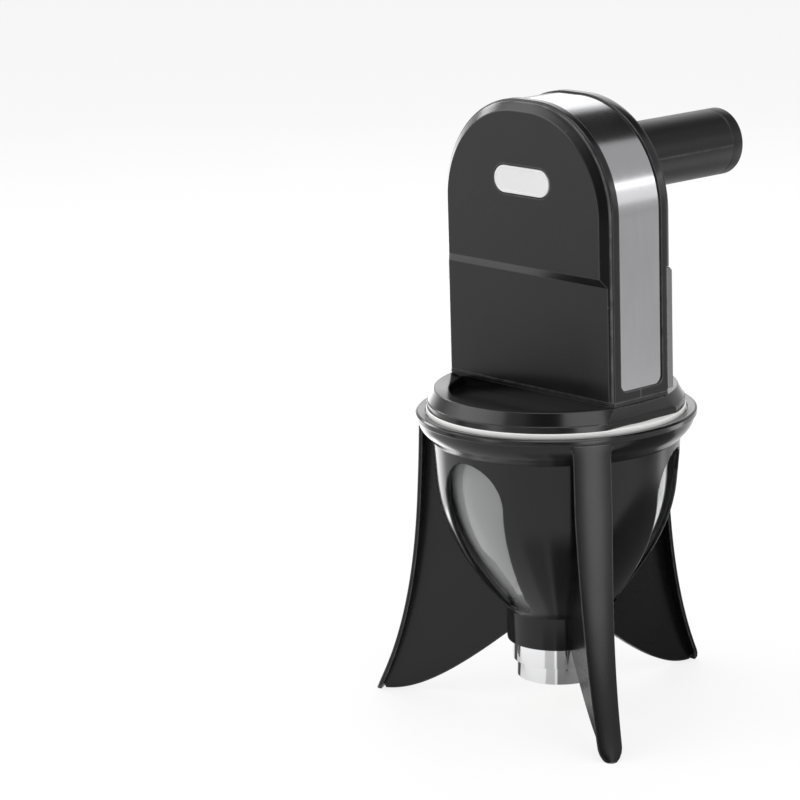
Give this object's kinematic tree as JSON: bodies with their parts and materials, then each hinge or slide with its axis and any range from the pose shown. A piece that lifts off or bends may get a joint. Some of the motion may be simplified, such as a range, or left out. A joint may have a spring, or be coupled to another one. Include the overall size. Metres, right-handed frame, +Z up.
{
  "type": "donut maker",
  "caption": "Donut maker: clear-windowed dough hopper on flared legs, steel nozzle below, lid with an arched drive tower, steel side band and cylindrical rear grip.",
  "frame": {"origin": "on the bowl's and nozzle's axis, in the plane that the three feet stand on", "axes": "+Z up along the bowl's axis; -Y towards the tower's badge face; +Y along the handle"},
  "size_m": [0.1786, 0.1984, 0.3228],
  "materials": {
    "black_housing": "glossy black ABS",
    "black_leg": "glossy black ABS",
    "clear_plastic": "clear moulded plastic, polished",
    "white_seal": "soft white silicone",
    "nozzle_steel": "polished stainless steel",
    "band_steel": "satin stainless sheet",
    "badge_grey": "pale grey plastic, bare",
    "white_bush": "acetal, natural white",
    "dark_plastic": "dark moulded plastic",
    "handle_black": "satin black ABS",
    "handle_cap": "satin black ABS",
    "battery_sleeve": "printed sleeve, plain",
    "contact_metal": "nickel-plated strip",
    "motor_can": "zinc-plated can",
    "gear_nylon": "nylon",
    "steel_parts": "machined steel",
    "piston_plastic": "food-safe acetal",
    "piston_seal": "silicone O-ring",
    "button_grey": "satin dark grey plastic",
    "circuit_board": "solder-masked laminate"
  },
  "bodies": {
    "stand": {"bowl_shell": "black_housing", "leg_left": "black_leg", "leg_right": "black_leg", "leg_rear": "black_leg", "clear_hopper": "clear_plastic", "seal_ring": "white_seal", "nozzle_sleeve": "nozzle_steel", "nozzle_tube": "nozzle_steel"},
    "head": {"lid": "black_housing", "rod_bush": "white_bush", "front_shell": "black_housing", "back_shell": "black_housing", "front_cover": "black_housing", "badge": "badge_grey", "steel_band": "band_steel", "battery_trays": "dark_plastic", "batteries": "battery_sleeve", "battery_contacts": "contact_metal", "handle_upper_shell": "handle_black", "handle_lower_shell": "handle_black", "handle_end_cap": "handle_cap", "gearmotor": "motor_can", "gear_axle": "steel_parts", "rack_guide": "white_bush", "control_board": "circuit_board", "housing_screws": "steel_parts", "lid_screws": "steel_parts", "handle_screws": "steel_parts"},
    "plunger": {"plunger_rod": "steel_parts", "piston": "piston_plastic", "piston_ring": "piston_seal"},
    "gear": {"compound_gear": "gear_nylon"},
    "pinion": {"motor_pinion": "steel_parts"},
    "door": {"battery_door": "black_housing"},
    "button": {"power_button": "button_grey"}
  },
  "joints": [
    {"name": "head_lift", "type": "slide", "parent": "stand", "child": "head", "axis": [0, 0, 1], "range_m": [0, 0.15]},
    {"name": "plunger_slide", "type": "slide", "parent": "head", "child": "plunger", "axis": [0, 0, 1], "range_m": [0, 0.04]},
    {"name": "gear_turn", "type": "hinge", "parent": "head", "child": "gear", "pos_m": [-0.012, 0.002, 0.26574], "axis": [0, 1, 0], "range_deg": [-300, 15]},
    {"name": "motor_turn", "type": "hinge", "parent": "head", "child": "pinion", "pos_m": [0, 0.015, 0.2837], "axis": [0, 1, 0], "range_deg": [-30, 1040]},
    {"name": "battery_door_pull", "type": "slide", "parent": "head", "child": "door", "axis": [0, 1, 0], "range_m": [0, 0.03]},
    {"name": "power_press", "type": "slide", "parent": "head", "child": "button", "axis": [0, -1, 0], "range_m": [0, 0.0014], "stiffness_N_per_m": 600, "springref_m": -0.002}
  ],
  "couplings": [
    {"joint": "gear_turn", "follows": "plunger_slide", "rad_per_m": -125},
    {"joint": "motor_turn", "follows": "plunger_slide", "rad_per_m": 437.5}
  ]
}
